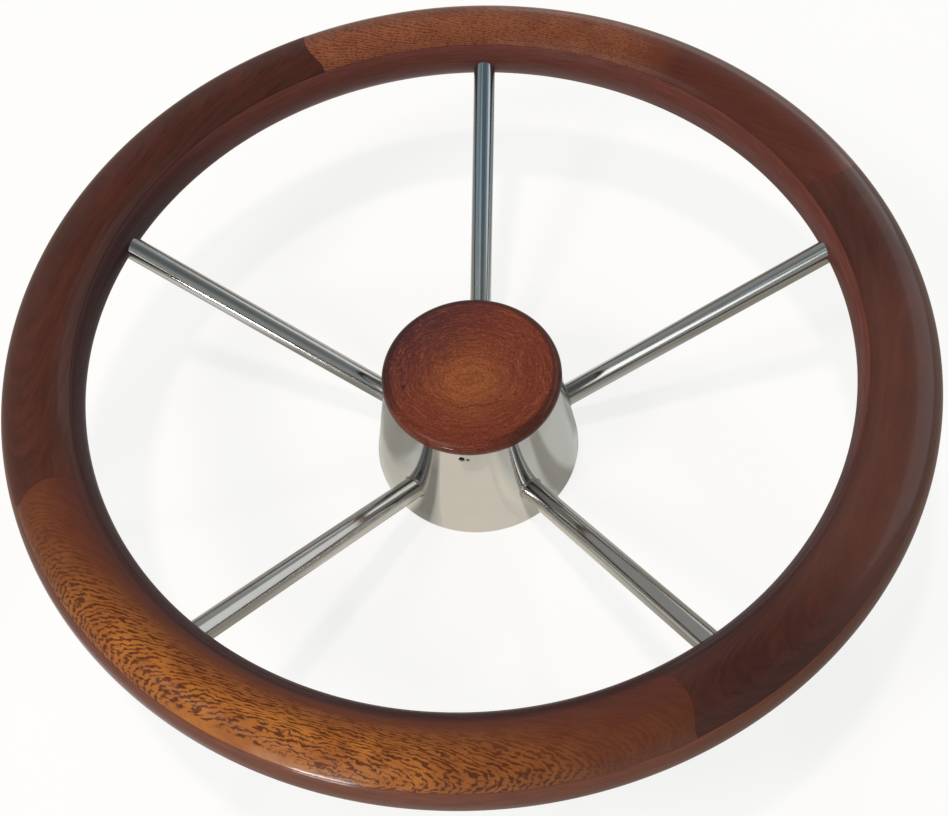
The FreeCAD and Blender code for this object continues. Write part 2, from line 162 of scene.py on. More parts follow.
LATHE_FEED = 0.22
lathe_steel = Finish("lathe_turned_steel", Metallic=1.0)
lathe_place = lathe_steel.place()
lathe_radius = lathe_steel.radius(lathe_place)
lathe_grooves = lathe_steel.rings(lathe_radius, 1 / LATHE_FEED, detail=3.0)
lathe_smudge = lathe_steel.cloud(lathe_place, size=9.0, detail=4.0)
lathe_steel.finish_with(
    Base_Color=lathe_steel.mix(lathe_smudge, tone(150, 147, 142), tone(190, 187, 181)),
    Roughness=lathe_steel.stretch(lathe_smudge, 0.3, 0.7, 0.28, 0.42),
    Normal=lathe_steel.relief(lathe_grooves, depth=0.02),
)
wear("shaft_boss", lathe_steel)
wear("hub_back_plate", lathe_steel)


# Hub cone
# A cone spun from stainless sheet and polished to a mirror, open at the back, with rounded edges. A
# hole under its front edge lets the cap's grub screw through to the wood, and the steel is painted dark
# in one small spot beside it.
CONE_FOOT_RADIUS = 48.7
CONE_TOP_RADIUS = 39.25
CONE_HEIGHT = 59.6
CONE_WALL = 2.6
CONE_SLOPE = (CONE_FOOT_RADIUS - CONE_TOP_RADIUS) / CONE_HEIGHT
CONE_LEAN = math.atan(CONE_SLOPE)
CONE_STEPS = 600
CONE_EDGE = 0.7
EDGE_POINTS = 6
SCREW_ANGLE = math.radians(266)
SCREW_HEIGHT = 55.3
SCREW_HOLE_RADIUS = 1.3
HOLE_EDGE = 0.15
HOLE_EDGE_HOLLOW = 0.04
COLLAR_OUTSIDE = 0.5
COLLAR_INSIDE = 0.6
PATCH_FOOT = 52.3
PATCH_STEP = 0.6
PATCH_ROWS = 11
PATCH_REACH = 7
DARK_SPOT_ANGLE = math.radians(269.8)
DARK_SPOT_HEIGHT = 54.9
DARK_SPOT_CORE = 0.5
DARK_SPOT_RIM = 1.1


def cone_radius(height):
    """The radius of the cone's outside at this height."""
    return CONE_FOOT_RADIUS - CONE_SLOPE * height


def bend(centre_x, centre_z, radius, start, end, steps):
    """Points along an arc from one angle to another, in degrees."""
    angles = [math.radians(start + (end - start) * i / steps) for i in range(steps + 1)]
    return [(centre_x + radius * math.cos(a), centre_z + radius * math.sin(a)) for a in angles]


def make_piece(name, shell, sharp_angle=40):
    """An object from a bmesh in millimetres, shaded smooth except along its sharp edges."""
    bmesh.ops.scale(shell, vec=(MM, MM, MM), verts=shell.verts)
    bmesh.ops.recalc_face_normals(shell, faces=shell.faces)
    mesh = bpy.data.meshes.new(name)
    shell.to_mesh(mesh)
    shell.free()
    mesh.shade_smooth()
    mesh.set_sharp_from_angle(angle=math.radians(sharp_angle))
    piece = bpy.data.objects.new(name, mesh)
    bpy.context.scene.collection.objects.link(piece)
    return piece


def weave(shell, rows, closed_rows=True, closed_columns=True):
    """Joins rows of points into a net of four-sided faces and gives the net's corners back."""
    net = [[shell.verts.new(point) for point in row] for row in rows]
    row_count = len(net)
    column_count = len(net[0])
    for i in range(row_count if closed_rows else row_count - 1):
        for j in range(column_count if closed_columns else column_count - 1):
            low, high = net[i], net[(i + 1) % row_count]
            shell.faces.new((low[j], low[(j + 1) % column_count], high[(j + 1) % column_count], high[j]))
    return net


def turned_rows(outline, steps):
    """An outline of (radius, height) swept round the wheel's axis."""
    rows = []
    for i in range(steps):
        angle = 2 * math.pi * i / steps
        rows.append([Vector((r * math.cos(angle), r * math.sin(angle), z)) for r, z in outline])
    return rows


def wall_point(angle, height, depth):
    """A point of the cone's wall, as deep under its outside as depth."""
    radius = cone_radius(height) - depth / math.cos(CONE_LEAN)
    return Vector((radius * math.cos(angle), radius * math.sin(angle), height))


inner_wall = CONE_WALL / math.cos(CONE_LEAN)
edge_height = CONE_HEIGHT - CONE_EDGE
outer_heights = [0.6, 12, 24, 36, 45] + [PATCH_FOOT + PATCH_STEP * i for i in range(PATCH_ROWS)]
inner_heights = [0.3] + outer_heights[1:] + [CONE_HEIGHT - 0.2]
cone_outline = [(cone_radius(z), z) for z in outer_heights]
cone_outline += bend(
    cone_radius(edge_height) - CONE_EDGE, edge_height, CONE_EDGE, math.degrees(CONE_LEAN), 90, EDGE_POINTS
)
cone_outline += [(cone_radius(CONE_HEIGHT) - inner_wall + 0.2, CONE_HEIGHT)]
last_inner_row = len(cone_outline) + len(inner_heights) - 1
cone_outline += [(cone_radius(z) - inner_wall, z) for z in reversed(inner_heights)]
cone_outline += [(cone_radius(0) - inner_wall + 0.3, 0)]
cone_outline += [(cone_radius(0) - 0.5, 0), (cone_radius(0) - 0.12, 0.15)]

cone = bmesh.new()
cone_net = weave(cone, turned_rows(cone_outline, CONE_STEPS))
outer_rows = [i for i, z in enumerate(outer_heights) if z >= PATCH_FOOT]
inner_rows = [last_inner_row - i for i in outer_rows]
screw_column = round(SCREW_ANGLE / (2 * math.pi) * CONE_STEPS)
patch_columns = [screw_column + i for i in range(-PATCH_REACH, PATCH_REACH + 1)]


def patch_border(rows):
    """The corners round the square of wall that the hole is cut from."""
    first, last = rows[0], rows[-1]
    border = [cone_net[c][first] for c in patch_columns]
    border += [cone_net[patch_columns[-1]][r] for r in rows[1:]]
    border += [cone_net[c][last] for c in reversed(patch_columns[:-1])]
    border += [cone_net[patch_columns[0]][r] for r in reversed(rows[1:-1])]
    return border


def open_patch(rows):
    """Takes out the corners inside the square and gives the corners round it back."""
    inside = [cone_net[c][r] for c in patch_columns[1:-1] for r in rows[1:-1]]
    border = patch_border(rows)
    bmesh.ops.delete(cone, geom=inside, context="VERTS")
    return border


def hole_loop(border, radius, depth):
    """A round loop in the wall with one corner for each corner of the border."""
    loop = []
    for corner in border:
        turn = math.atan2(corner.co.y, corner.co.x) % (2 * math.pi) - SCREW_ANGLE
        across = turn * cone_radius(SCREW_HEIGHT)
        up = corner.co.z - SCREW_HEIGHT
        direction = math.atan2(up, across)
        angle = SCREW_ANGLE + radius * math.cos(direction) / cone_radius(SCREW_HEIGHT)
        loop.append(cone.verts.new(wall_point(angle, SCREW_HEIGHT + radius * math.sin(direction), depth)))
    return loop


def bridge(loops):
    """Joins each loop to the next with four-sided faces."""
    for low, high in zip(loops, loops[1:]):
        for i in range(len(low)):
            j = (i + 1) % len(low)
            cone.faces.new((low[i], low[j], high[j], high[i]))


outer_border = open_patch(outer_rows)
inner_border = open_patch(inner_rows)
bridge([
    outer_border,
    hole_loop(outer_border, SCREW_HOLE_RADIUS + COLLAR_OUTSIDE, 0.0),
    hole_loop(outer_border, SCREW_HOLE_RADIUS + HOLE_EDGE, 0.0),
    hole_loop(outer_border, SCREW_HOLE_RADIUS + HOLE_EDGE_HOLLOW, HOLE_EDGE_HOLLOW),
    hole_loop(outer_border, SCREW_HOLE_RADIUS, HOLE_EDGE),
    hole_loop(inner_border, SCREW_HOLE_RADIUS, CONE_WALL),
    hole_loop(inner_border, SCREW_HOLE_RADIUS + COLLAR_INSIDE, CONE_WALL),
    inner_border,
])
hub = make_piece("hub_cone_polished", cone)

mirror_steel = Finish("mirror_polished_steel", Metallic=1.0)
mirror_place = mirror_steel.place()
mirror_smear = mirror_steel.cloud(mirror_place, size=14.0, detail=5.0, rough=0.6)
drawn_place = mirror_steel.add("VectorMath", mirror_place, (0.25, 0.25, 6.0), operation="MULTIPLY")
polish_lines = mirror_steel.cloud(drawn_place, size=1.0, detail=3.0)
mirror_tint = mirror_steel.mix(mirror_smear, tone(203, 201, 196), tone(214, 212, 207))
# The steel is painted dark in one small spot beside the screw hole.
dark_spot_distance = mirror_steel.distance(mirror_place, wall_point(DARK_SPOT_ANGLE, DARK_SPOT_HEIGHT, 0.0))
dark_spot_share = mirror_steel.stretch(dark_spot_distance, DARK_SPOT_CORE, DARK_SPOT_RIM, 0.9, 0.0)
mirror_tint = mirror_steel.mix(dark_spot_share, mirror_tint, tone(52, 50, 44))
mirror_steel.finish_with(
    Base_Color=mirror_tint,
    Roughness=mirror_steel.stretch(mirror_smear, 0.3, 0.75, 0.05, 0.12),
    Normal=mirror_steel.relief(polish_lines, depth=0.0015),
)
hub.data.materials.append(mirror_steel.material)
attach(hub, "root")
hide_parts("hub_cone")


# Spokes
# Five lengths of ground and polished stainless round bar. Each butts against the cone, rises to the
# rim, and is pushed into a hole bored in the wood. The far one is painted bluer along its length, a
# painted reflection of the blue-grey room.
SPOKE_ANGLES = [90, 162, 234, 306, 18]
SPOKE_RADIUS = 5.2
SPOKE_FOOT_HEIGHT = 22.2
RIM_RADIUS = 180.2
RIM_HEIGHT = 90.8
SPOKE_RIM_HEIGHT = 85.5
RIM_INSIDE_RADIUS = 163.4
SOCKET_DEPTH = 16.0
BAR_STEPS = 128
BAR_IN_WALL = 1.6
BAR_END_ROUND = 0.6
BLUE_REFLECTION_FROM = 50.0
BLUE_REFLECTION_TO = 110.0

foot_radius = cone_radius(SPOKE_FOOT_HEIGHT)
spoke_rise = SPOKE_RIM_HEIGHT - SPOKE_FOOT_HEIGHT
spoke_run = RIM_INSIDE_RADIUS - foot_radius
spoke_length = math.hypot(spoke_run, spoke_rise)


def spoke_lines(angle):
    """A spoke's foot on the cone, its direction, and two directions across it."""
    turn = math.radians(angle)
    outward = Vector((math.cos(turn), math.sin(turn), 0))
    foot = outward * foot_radius + Vector((0, 0, SPOKE_FOOT_HEIGHT))
    along = (outward * spoke_run + Vector((0, 0, spoke_rise))).normalized()
    side = along.cross(Vector((0, 0, 1))).normalized()
    return foot, along, side, side.cross(along)


bar_steel = Finish("polished_bar", Metallic=1.0)
bar_place = bar_steel.place()
bar_smear = bar_steel.cloud(bar_place, size=11.0, detail=5.0, rough=0.6)
bar_colour = bar_steel.mix(bar_smear, tone(182, 181, 177), tone(200, 199, 194))
# The far bar is painted bluer: a painted reflection of the blue-grey room.
painted_blue_reflection = bar_steel.stretch(bar_steel.part(bar_place, "y"), BLUE_REFLECTION_FROM, BLUE_REFLECTION_TO, 0.0, 0.8)
bar_steel.finish_with(
    Base_Color=bar_steel.mix(painted_blue_reflection, bar_colour, tone(170, 190, 201)),
    Roughness=bar_steel.stretch(bar_smear, 0.3, 0.75, 0.11, 0.19),
    Normal=bar_steel.relief(bar_steel.cloud(bar_place, size=6.0), depth=0.0008),
)

for number, angle in enumerate(SPOKE_ANGLES, start=1):
    foot, along, side, over = spoke_lines(angle)
    bar_profile = [(-BAR_IN_WALL, 0.0), (-BAR_IN_WALL, SPOKE_RADIUS)]
    bar_profile += [(spoke_length * share, SPOKE_RADIUS) for share in (0.25, 0.5, 0.75, 1.0)]
    inner_end = spoke_length + SOCKET_DEPTH
    bar_profile += [(inner_end - BAR_END_ROUND, SPOKE_RADIUS), (inner_end, SPOKE_RADIUS - BAR_END_ROUND)]
    bar_profile += [(inner_end, 0.0)]
    bar = bmesh.new()
    bar_rows = []
    for i in range(BAR_STEPS):
        turn = 2 * math.pi * i / BAR_STEPS
        outward = side * math.cos(turn) + over * math.sin(turn)
        bar_rows.append([foot + along * s + outward * r for s, r in bar_profile])
    weave(bar, bar_rows, closed_columns=False)
    bmesh.ops.remove_doubles(bar, verts=bar.verts, dist=0.001)
    spoke = make_piece(f"spoke_bar_{number}", bar)
    spoke.data.materials.append(bar_steel.material)
    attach(spoke, "root")
    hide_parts(f"spoke_{number}")


# Spoke welds
# Each bar is welded to the cone all round, and the weld is ground and polished to a small hollow
# fillet, bright where it turns up from the cone.
WELD_LEG = 0.9
WELD_SLOW_WAVE = 0.06
WELD_QUICK_WAVE = 0.04
WELD_TUCK = 0.02
WELD_ROOT = 0.5
WELD_ROOT_CORNER = 0.8
WELD_STEPS = 120
WELD_CURVE_POINTS = 8
SEARCH_REACH = 30.0
SEARCH_HALVINGS = 50


def reach_cone(point, direction):
    """How far along a line the cone's wall is, met from outside."""
    low, high = -SEARCH_REACH, SEARCH_REACH
    for _ in range(SEARCH_HALVINGS):
        middle = (low + high) / 2
        spot = point + direction * middle
        if math.hypot(spot.x, spot.y) > cone_radius(spot.z):
            high = middle
        else:
            low = middle
    return high


welds = bmesh.new()
for angle in SPOKE_ANGLES:
    foot, along, side, over = spoke_lines(angle)
    weld_rows = []
    for i in range(WELD_STEPS):
        turn = 2 * math.pi * i / WELD_STEPS
        outward = side * math.cos(turn) + over * math.sin(turn)
        waves = WELD_SLOW_WAVE * math.sin(3 * turn + angle) + WELD_QUICK_WAVE * math.sin(7 * turn)
        leg = WELD_LEG * (1 + waves)
        on_bar = foot + outward * SPOKE_RADIUS
        corner = on_bar + along * reach_cone(on_bar, along)
        off_bar = foot + outward * (SPOKE_RADIUS + leg)
        toe = off_bar + along * (reach_cone(off_bar, along) - WELD_TUCK)
        top = corner + along * leg - outward * WELD_TUCK
        row = []
        for step in range(WELD_CURVE_POINTS + 1):
            t = step / WELD_CURVE_POINTS
            row.append(toe * (1 - t) ** 2 + corner * (2 * t * (1 - t)) + top * t ** 2)
        row.append(top - outward * WELD_ROOT)
        row.append(corner - outward * WELD_ROOT - along * WELD_ROOT_CORNER)
        row.append(toe - along * WELD_ROOT)
        weld_rows.append(row)
    weave(welds, weld_rows)
weld_piece = make_piece("spoke_welds", welds, sharp_angle=60)
weld_steel = Finish("polished_weld", Metallic=1.0)
weld_place = weld_steel.place()
weld_ripple = weld_steel.cloud(weld_place, size=0.9, detail=3.0, rough=0.6)
weld_steel.finish_with(
    Base_Color=weld_steel.mix(weld_ripple, tone(146, 143, 136), tone(180, 177, 170)),
    Roughness=weld_steel.stretch(weld_ripple, 0.3, 0.7, 0.24, 0.36),
    Normal=weld_steel.relief(weld_ripple, depth=0.02),
)
weld_piece.data.materials.append(weld_steel.material)
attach(weld_piece, "root")


# Rim body
# The back of the rim is one ring of plain red-brown hardwood, shaped round and stained. Its inside is
# painted lighter on the right and far side and darker elsewhere, as painted light and shade, and the
# near side of its outside is painted paler, as painted light from the front. Its flat front carries
# the front layer, and the bars sit in holes in its inside.
HALF_WIDTH = 16.8
HALF_THICKNESS = 15.3
SIDE_RADIUS = 14.9175
SIDE_OFFSET = HALF_WIDTH - SIDE_RADIUS
CROWN_RADIUS = 19.741
CROWN_OFFSET = CROWN_RADIUS - HALF_THICKNESS
FLANK_ANGLE = 67.03
GLUE_HEIGHT = 99.7
GLUE_EDGE = 0.22
BODY_STEPS = 720
BODY_POINTS = 44
# A full turn counts as this many millimetres, which draws the grain out along the ring.
TURN_COUNTS_AS = 60.0


def section_point(degrees):
    """A point of the rim's section, by the direction that its surface faces: 0 out, 90 forward."""
    turn = math.radians(degrees)
    if abs(math.sin(turn)) > math.sin(math.radians(FLANK_ANGLE)):
        side_sign = math.copysign(1, math.sin(turn))
        return (CROWN_RADIUS * math.cos(turn), CROWN_RADIUS * math.sin(turn) - side_sign * CROWN_OFFSET)
    out_sign = math.copysign(1, math.cos(turn))
    return (out_sign * SIDE_OFFSET + SIDE_RADIUS * math.cos(turn), SIDE_RADIUS * math.sin(turn))


glue_lift = GLUE_HEIGHT - RIM_HEIGHT
glue_angle = math.degrees(math.asin((glue_lift - GLUE_EDGE) / SIDE_RADIUS))
body_angles = [180 - glue_angle + (180 + 2 * glue_angle) * i / BODY_POINTS for i in range(BODY_POINTS + 1)]
body_section = [section_point(a) for a in body_angles]
glue_half_width = body_section[-1][0] - GLUE_EDGE
body_section += [(glue_half_width, glue_lift), (-glue_half_width, glue_lift)]
body = bmesh.new()
weave(body, turned_rows([(RIM_RADIUS + u, RIM_HEIGHT + w) for u, w in body_section], BODY_STEPS))
rim_body = make_piece("rim_body_wood", body)


def varnished(name):
    """Wood under a thin clear varnish, rubbed down to a soft gloss."""
    return Finish(
        name, Roughness=0.5, Specular_IOR_Level=0.15, Coat_Weight=0.5, Coat_Roughness=0.13, Coat_IOR=1.5
    )


body_wood = varnished("body_wood_varnished")
body_place = body_wood.place()
body_mottle = body_wood.cloud(body_place, size=26.0, detail=4.0, rough=0.55)
body_radius = body_wood.radius(body_place)
body_turn = body_wood.add("TexGradient", body_place, gradient_type="RADIAL")
body_height = body_wood.part(body_place, "z")
body_grain_place = body_wood.add(
    "CombineXYZ", body_wood.sum("MULTIPLY", body_turn, TURN_COUNTS_AS), body_radius, body_height
)
body_streak = body_wood.cloud(body_grain_place, size=0.8, detail=4.0, rough=0.6)
# The inside is painted lighter on the right and far side and darker elsewhere: painted light and shade.
inside_painted_light = body_wood.course(
    body_turn, (0.0, 0.05), (0.22, 0.05), (0.28, 0.15), (0.36, 0.1), (0.43, 0.3), (0.48, 0.95), (0.5, 1.0),
    (0.65, 1.0), (0.8, 0.92), (0.87, 0.85), (0.92, 0.3), (0.95, 0.05), (1.0, 0.05),
)
inside_colour = body_wood.mix(inside_painted_light, tone(56, 34, 36), tone(111, 61, 52))
outside_colour = body_wood.mix(body_mottle, tone(92, 50, 36), tone(112, 64, 47))
# The near side of the outside is painted paler: painted light from the front.
painted_front_light_share = body_wood.stretch(body_wood.part(body_place, "y"), -110.0, -185.0, 0.0, 0.6)
outside_colour = body_wood.mix(painted_front_light_share, outside_colour, tone(134, 80, 62))
outside_share = body_wood.stretch(body_radius, RIM_RADIUS - 6, RIM_RADIUS + 8)
body_colour = body_wood.mix(outside_share, inside_colour, outside_colour)
streak_share = body_wood.stretch(body_streak, 0.35, 0.65, 0.0, 0.4)
body_colour = body_wood.mix(streak_share, body_colour, tone(58, 30, 25))
body_wood.finish_with(
    Base_Color=body_colour,
    Roughness=body_wood.stretch(body_streak, 0.3, 0.7, 0.44, 0.58),
    Coat_Weight=body_wood.stretch(body_radius, RIM_RADIUS - 8, RIM_RADIUS + 4, 0.14, 0.5),
    Coat_Normal=body_wood.relief(body_wood.cloud(body_place, size=3.5), depth=0.02),
)
rim_body.data.materials.append(body_wood.material)
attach(rim_body, "root")
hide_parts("rim_body")


# Rim front layer
# Four segments sawn from plank and glued on the body, a quarter turn each. The top and bottom ones
# are figured golden wood and end in round tongues, which fit hollows in the two dark ones.
JOINT_ANGLE = 27.2
TONGUE_RADIUS = 20.0
TONGUE_REACH = 3.4
JOINT_GAP = 0.06
FRONT_POINTS = 46
FRONT_STEPS = 300
END_FADE = 0.12

front_start = math.degrees(math.asin((glue_lift + GLUE_EDGE) / SIDE_RADIUS))
front_angles = [front_start + (180 - 2 * front_start) * i / FRONT_POINTS for i in range(FRONT_POINTS + 1)]
front_section = [section_point(a) for a in front_angles]
front_half_width = front_section[0][0] - GLUE_EDGE


def tongue_reach(offset):
    """How far past the joint the tongue stands at this distance from the rim's middle line."""
    return max(0.0, TONGUE_REACH - TONGUE_RADIUS + math.sqrt(TONGUE_RADIUS ** 2 - offset ** 2))


def front_segment(name, number):
    """One segment: tongues at both ends of the odd ones and hollows in the even ones."""
    start = math.radians(JOINT_ANGLE + 90 * (number - 1))
    end = start + math.pi / 2
    tongued = number % 2 == 1
    segment = bmesh.new()
    underside = [(max(-front_half_width, min(front_half_width, u)), glue_lift) for u, w in front_section]
    front_rows = []
    for i in range(FRONT_STEPS + 1):
        share = i / FRONT_STEPS
        near_start = max(0.0, 1 - share / END_FADE)
        near_end = max(0.0, 1 - (1 - share) / END_FADE)
        row = []
        for offset, lift in front_section + underside[::-1]:
            reach = tongue_reach(offset) if tongued else -tongue_reach(offset) - JOINT_GAP
            radius = RIM_RADIUS + offset
            angle = start + (end - start) * share
            angle += math.atan2(reach, radius) * (near_end ** 2 - near_start ** 2)
            row.append(Vector((radius * math.cos(angle), radius * math.sin(angle), RIM_HEIGHT + lift)))
        front_rows.append(row)
    net = weave(segment, front_rows, closed_rows=False)
    count = len(front_section)
    for end_row in (net[0], net[-1]):
        for k in range(count - 1):
            opposite = 2 * count - 1 - k
            segment.faces.new((end_row[k], end_row[k + 1], end_row[opposite - 1], end_row[opposite]))
    return make_piece(name, segment)


def plank_lines(finish, middle, ring_tilt):
    """Distances in the plank a segment was sawn from: along it, across its growth rings and beside."""
    turn = math.radians(middle)
    tilt = math.radians(ring_tilt)
    place = finish.place()
    along = Vector((-math.sin(turn), math.cos(turn), 0))
    out = Vector((math.cos(turn), math.sin(turn), 0))
    across = out * math.cos(tilt) + Vector((0, 0, math.sin(tilt)))
    beside = along.cross(across)
    distances = [finish.reach(place, line) for line in (along, across, beside)]
    return place, distances, finish.reach(place, out)


def rim_directions(finish, place, along, out_distance):
    """How far round from the segment's middle a point is, and which way it faces, in degrees."""
    round_angle = finish.sum("MULTIPLY", finish.sum("ARCTAN2", along, out_distance), 180 / math.pi)
    lift = finish.sum("SUBTRACT", finish.part(place, "z"), RIM_HEIGHT)
    offset = finish.sum("SUBTRACT", finish.radius(place), RIM_RADIUS)
    facing = finish.sum("MULTIPLY", finish.sum("ARCTAN2", lift, offset), 180 / math.pi)
    return round_angle, facing


def fibres(finish, along, across, beside, length, thickness, breadth, detail=2.0, rough=0.5, twist=0.0):
    """Soft noise drawn out along the grain, in lumps of this length, thickness and breadth."""
    drawn = finish.add(
        "CombineXYZ",
        finish.sum("DIVIDE", along, length),
        finish.sum("DIVIDE", across, thickness),
        finish.sum("DIVIDE", beside, breadth),
    )
    return finish.cloud(drawn, 1.0, detail=detail, rough=rough, twist=twist)


RING_POWER = 0.75
SPOT_TURN = -8.0
SPOT_FACING = 38.0
SPOT_HALF_LONG = 9.0
SPOT_HALF_BROAD = 11.0


def sawn_wood(name, middle, ring_tilt, ring_gap, dash_length, golden_turns, golden_faces, dash_most,
              gloss, bare_spot, colours):
    """Varnished wood: stained, with a golden stretch where dark dashes follow its growth rings.

    middle is the angle of the segment's middle, and ring_tilt the lean of its growth rings. The stops
    say how golden it is round the segment and by the way its surface faces, and how much varnish lies
    there. bare_spot is how many dashes are left in a spot on the segment's outer shoulder.
    """
    dark, dark_streak, gold, gold_bright, dash = colours
    wood = varnished(name)
    place, (along, across, beside), out_distance = plank_lines(wood, middle, ring_tilt)
    round_angle, facing = rim_directions(wood, place, along, out_distance)
    slow_wander = wood.cloud(
        wood.add("CombineXYZ", wood.sum("MULTIPLY", along, 0.35), across, beside), size=8.0
    )
    quick_wander = wood.cloud(place, size=2.2)
    bent_across = wood.sum("ADD", across, wood.stretch(slow_wander, 0.0, 1.0, -1.6, 1.6))
    bent_across = wood.sum("ADD", bent_across, wood.stretch(quick_wander, 0.0, 1.0, -0.4, 0.4))
    top_offset, top_lift = section_point(ring_tilt)
    ring_top = (RIM_RADIUS + top_offset) * math.cos(math.radians(ring_tilt))
    ring_top += (RIM_HEIGHT + top_lift) * math.sin(math.radians(ring_tilt))
    depth = wood.sum("MAXIMUM", wood.sum("SUBTRACT", ring_top + 0.8, bent_across), 0.01)
    ring_count = wood.sum("DIVIDE", wood.sum("POWER", depth, RING_POWER), RING_POWER * ring_gap)
    ring_lines = wood.sum("SINE", wood.sum("MULTIPLY", ring_count, 2 * math.pi))
    ring_lines = wood.stretch(ring_lines, -1.0, 1.0, -0.12, 0.12)
    broken = fibres(wood, along, ring_count, beside, dash_length, 1.2, 1.1, detail=2.0, rough=0.6)
    dashes = wood.stretch(wood.sum("ADD", ring_lines, broken), 0.46, 0.62)
    streaks = fibres(wood, along, bent_across, beside, 16.0, 0.4, 16.0, detail=4.0, rough=0.65)
    bands = fibres(wood, along, across, beside, 40.0, 1.6, 20.0, detail=3.0, rough=0.6)
    blotch = wood.cloud(place, size=15.0, detail=3.0)
    golden = wood.sum(
        "MULTIPLY", wood.course(round_angle, *golden_turns), wood.course(facing, *golden_faces)
    )
    dash_share = wood.sum("MULTIPLY", dashes, wood.stretch(golden, 0.0, 0.5, dash_most * 0.12, dash_most))
    spot_place = wood.add(
        "CombineXYZ",
        wood.sum("DIVIDE", wood.sum("SUBTRACT", round_angle, SPOT_TURN), SPOT_HALF_LONG),
        wood.sum("DIVIDE", wood.sum("SUBTRACT", facing, SPOT_FACING), SPOT_HALF_BROAD),
        wood.stretch(quick_wander, 0.0, 1.0, -0.5, 0.5),
    )
    outside_spot = wood.stretch(wood.length(spot_place), 0.85, 1.1, bare_spot, 1.0)
    dash_share = wood.sum("MULTIPLY", dash_share, outside_spot)
    plain = wood.mix(wood.stretch(wood.sum("ADD", streaks, bands), 0.8, 1.2), dark, dark_streak)
    figured = wood.mix(wood.stretch(blotch, 0.35, 0.62), gold, gold_bright)
    ground = wood.mix(golden, plain, figured)
    # The inner edge is painted dark on the near side: painted shade.
    painted_inner_shade = wood.course(facing, (126, 0.0), (139, 1.0), (150, 1.0))
    near_side_shade = wood.stretch(wood.part(place, "y"), -40.0, -150.0, 0.0, 0.7)
    ground = wood.mix(wood.sum("MULTIPLY", painted_inner_shade, near_side_shade), ground, tone(34, 24, 30))
    wood.finish_with(
        Base_Color=wood.mix(dash_share, ground, dash),
        Roughness=wood.stretch(streaks, 0.3, 0.7, 0.44, 0.58),
        Coat_Weight=wood.course(facing, *gloss, (148, 0.14), (160, 0.14)),
        Normal=wood.relief(dash_share, depth=0.02),
        Coat_Normal=wood.relief(wood.cloud(place, size=3.0), depth=0.02),
    )
    return wood


figured_top = sawn_wood(
    "figured_top_varnished", middle=72.0, ring_tilt=64.0, ring_gap=0.46, dash_length=1.2,
    golden_turns=[(-50, 0.0), (-14, 0.0), (-5, 0.8), (15, 0.9), (50, 0.95)],
    golden_faces=[(20, 0.3), (60, 0.55), (80, 0.8), (95, 0.95), (110, 1.0), (150, 0.95)],
    dash_most=0.68, gloss=[(20, 0.9), (58, 0.85), (78, 0.45), (128, 0.4)], bare_spot=1.0,
    colours=[tone(78, 37, 27), tone(88, 43, 31), tone(126, 70, 45), tone(142, 84, 56), tone(78, 34, 20)],
)
figured_bottom = sawn_wood(
    "figured_bottom_varnished", middle=256.0, ring_tilt=52.0, ring_gap=0.4, dash_length=4.2,
    golden_turns=[(-49, 0.1), (-40, 0.22), (-34, 0.38), (-27, 0.7), (-13, 0.82), (-6, 1.0), (6, 0.92),
                  (15, 0.52), (25, 0.3), (32, 0.1), (42, 0.05)],
    golden_faces=[(20, 1.8), (50, 1.6), (65, 1.45), (78, 1.25), (95, 0.78), (110, 0.45), (121, 0.15),
                  (132, 0.04), (142, 0.0)],
    dash_most=0.9, gloss=[(20, 1.0), (36, 1.0), (54, 0.22), (128, 0.22)], bare_spot=0.12,
    colours=[tone(76, 38, 30), tone(86, 44, 34), tone(150, 85, 36), tone(170, 103, 43), tone(76, 34, 13)],
)
dark_left = sawn_wood(
    "dark_left_varnished", middle=162.0, ring_tilt=75.0, ring_gap=1.4, dash_length=2.4,
    golden_turns=[(-45, 0.0), (45, 0.1)],
    golden_faces=[(20, 1.0), (160, 1.0)],
    dash_most=0.1, gloss=[(20, 0.35), (60, 0.38), (90, 0.5), (128, 0.5)], bare_spot=1.0,
    colours=[tone(57, 26, 18), tone(76, 37, 27), tone(116, 60, 36), tone(120, 64, 38), tone(56, 26, 20)],
)
dark_right = sawn_wood(
    "dark_right_varnished", middle=342.0, ring_tilt=75.0, ring_gap=1.4, dash_length=2.4,
    golden_turns=[(-45, 0.12), (-39, 0.0), (-30, 0.0), (-20, 0.32), (-14, 0.4), (20, 0.35), (32, 0.1),
                  (45, 0.2)],
    golden_faces=[(20, 0.6), (75, 1.0), (160, 1.0)],
    dash_most=0.1, gloss=[(20, 0.6), (60, 0.6), (80, 0.5), (128, 0.5)], bare_spot=1.0,
    colours=[tone(53, 25, 18), tone(71, 34, 25), tone(106, 64, 54), tone(112, 66, 54), tone(52, 26, 20)],
)
front_woods = [figured_top, dark_left, figured_bottom, dark_right]
front_slots = ["figured_wood", "dark_wood", "figured_wood", "dark_wood"]
for number, (wood, slot_name) in enumerate(zip(front_woods, front_slots), start=1):
    segment_piece = front_segment(f"rim_front_wood_{number}", number)
    segment_piece.data.materials.append(wood.material)
    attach(segment_piece, "root")
    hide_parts(f"rim_front_{number}")


# Locking screws
# A slotted stainless screw goes into the back of the rim at each spoke and holds the bar in its hole.
# The heads are turned, and a little dull from the salt air.
screw_steel = Finish("screw_steel_worn", Metallic=1.0)
screw_place = screw_steel.place()
screw_cloud = screw_steel.cloud(screw_place, size=1.5, detail=4.0)
screw_steel.finish_with(
    Base_Color=screw_steel.mix(screw_cloud, tone(120, 117, 112), tone(176, 172, 166)),
    Roughness=screw_steel.stretch(screw_cloud, 0.3, 0.7, 0.25, 0.45),
    Normal=screw_steel.relief(screw_cloud, depth=0.02),
)
for number in range(1, len(SPOKE_ANGLES) + 1):
    wear(f"spoke_lock_screw_{number}", screw_steel)
